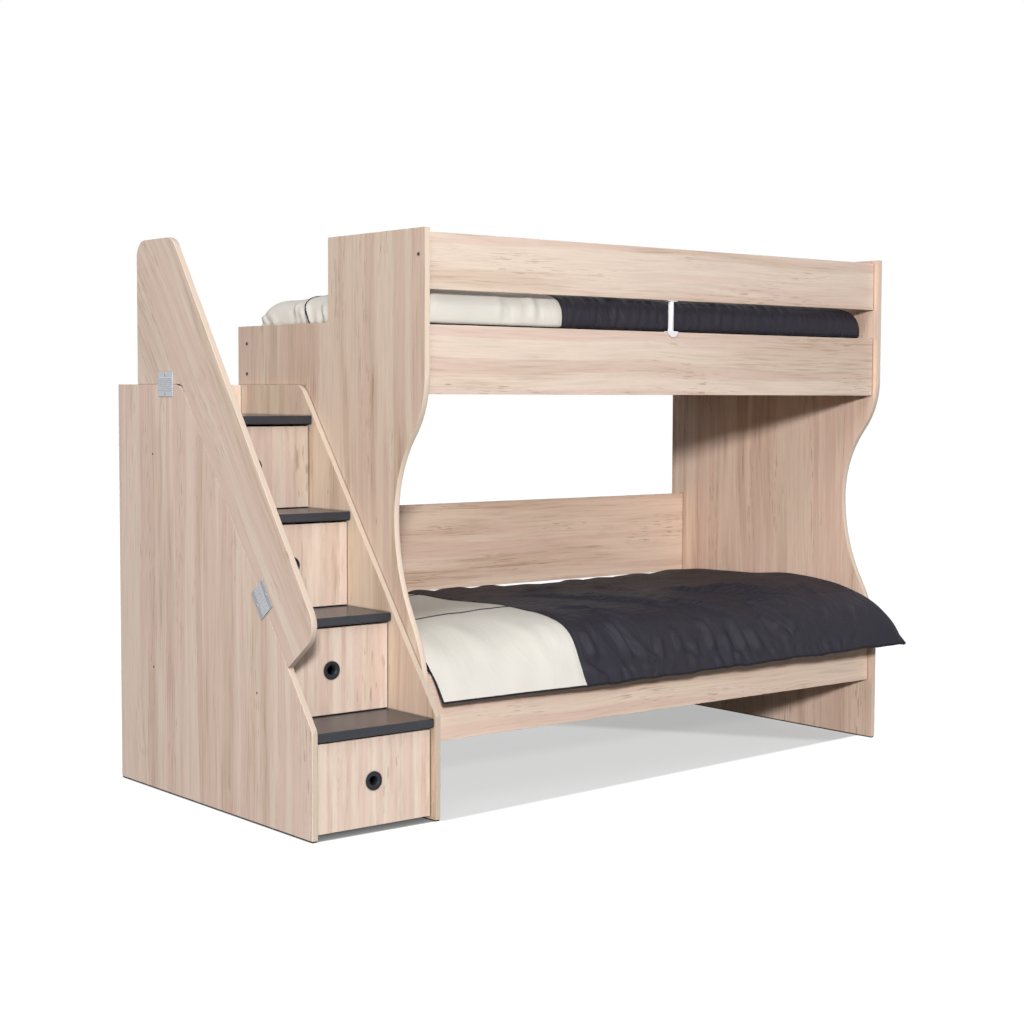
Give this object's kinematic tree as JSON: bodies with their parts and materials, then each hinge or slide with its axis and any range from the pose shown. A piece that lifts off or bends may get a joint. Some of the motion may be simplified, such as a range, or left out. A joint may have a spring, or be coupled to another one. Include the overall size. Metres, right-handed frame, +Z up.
{
  "type": "bunk bed with storage staircase",
  "caption": "Laminate bunk bed with wavy end panels, a guarded upper bunk, two dressed mattresses and a staircase at one end whose steps hold sliding drawers.",
  "frame": {"origin": "centre of the object's footprint box, on the floor", "axes": "+X along the bed from the staircase to the far end, +Y from the open front to the wall side, +Z up"},
  "size_m": [2.388, 1.1661, 1.66],
  "materials": {
    "oak_laminate": "satin pale oak laminate with cream edging",
    "pine_slats": "planed softwood",
    "anthracite_laminate": "matt anthracite laminate",
    "drawer_board": "satin pale laminate",
    "dark_plastic": "matt",
    "black_plastic": "satin",
    "zinc": "zinc plated",
    "beige_plastic": "satin, toned to the boards",
    "dark_steel": "dark burnished steel",
    "slide_steel": "zinc plated sheet",
    "white_metal": "gloss white paint",
    "mattress_fabric": "white ticking",
    "duvet_fabric": "cream and charcoal cotton with dark piping"
  },
  "bodies": {
    "frame": {"left_end_panel": "oak_laminate", "right_end_panel": "oak_laminate", "upper_front_rail": "oak_laminate", "upper_rear_rail": "oak_laminate", "upper_front_guard": "oak_laminate", "upper_rear_guard": "oak_laminate", "rear_guard_post": "oak_laminate", "lower_front_rail": "oak_laminate", "lower_rear_rail": "oak_laminate", "lower_back_board": "oak_laminate", "stair_outer_panel": "oak_laminate", "stair_inner_panel": "oak_laminate", "stair_back_panel": "oak_laminate", "stair_guard_panel": "oak_laminate", "upper_slats": "pine_slats", "lower_slats": "pine_slats", "upper_slat_ledges": "pine_slats", "lower_slat_ledges": "pine_slats", "tread_1": "anthracite_laminate", "tread_2": "anthracite_laminate", "tread_3": "anthracite_laminate", "tread_4": "anthracite_laminate", "bed_foot_strips": "dark_plastic", "stair_foot_strips": "dark_plastic", "guard_plate_upper": "zinc", "guard_plate_lower": "zinc", "guard_plate_screws": "zinc", "stair_link_plate": "beige_plastic", "bed_bolt_heads": "dark_steel", "guard_strut": "white_metal", "guard_strut_plate": "white_metal", "guard_strut_saddle": "white_metal", "drawer_1_rails": "slide_steel", "drawer_2_rails": "slide_steel", "drawer_3_rails": "slide_steel", "drawer_4_rails": "slide_steel", "upper_mattress": "mattress_fabric", "lower_mattress": "mattress_fabric", "upper_duvet": "duvet_fabric", "lower_duvet": "duvet_fabric"},
    "drawer_1": {"drawer_1_front": "oak_laminate", "drawer_1_walls": "drawer_board", "drawer_1_bottom": "drawer_board", "drawer_1_pull": "black_plastic", "drawer_1_slides": "slide_steel"},
    "drawer_2": {"drawer_2_front": "oak_laminate", "drawer_2_walls": "drawer_board", "drawer_2_bottom": "drawer_board", "drawer_2_pull": "black_plastic", "drawer_2_slides": "slide_steel"},
    "drawer_3": {"drawer_3_front": "oak_laminate", "drawer_3_walls": "drawer_board", "drawer_3_bottom": "drawer_board", "drawer_3_pull": "black_plastic", "drawer_3_slides": "slide_steel"},
    "drawer_4": {"drawer_4_front": "oak_laminate", "drawer_4_walls": "drawer_board", "drawer_4_bottom": "drawer_board", "drawer_4_pull": "black_plastic", "drawer_4_slides": "slide_steel"}
  },
  "joints": [
    {"name": "drawer_1_slide", "type": "slide", "parent": "frame", "child": "drawer_1", "axis": [0, -1, 0], "range_m": [0, 0.255]},
    {"name": "drawer_2_slide", "type": "slide", "parent": "frame", "child": "drawer_2", "axis": [0, -1, 0], "range_m": [0, 0.255]},
    {"name": "drawer_3_slide", "type": "slide", "parent": "frame", "child": "drawer_3", "axis": [0, -1, 0], "range_m": [0, 0.255]},
    {"name": "drawer_4_slide", "type": "slide", "parent": "frame", "child": "drawer_4", "axis": [0, -1, 0], "range_m": [0, 0.255]}
  ]
}
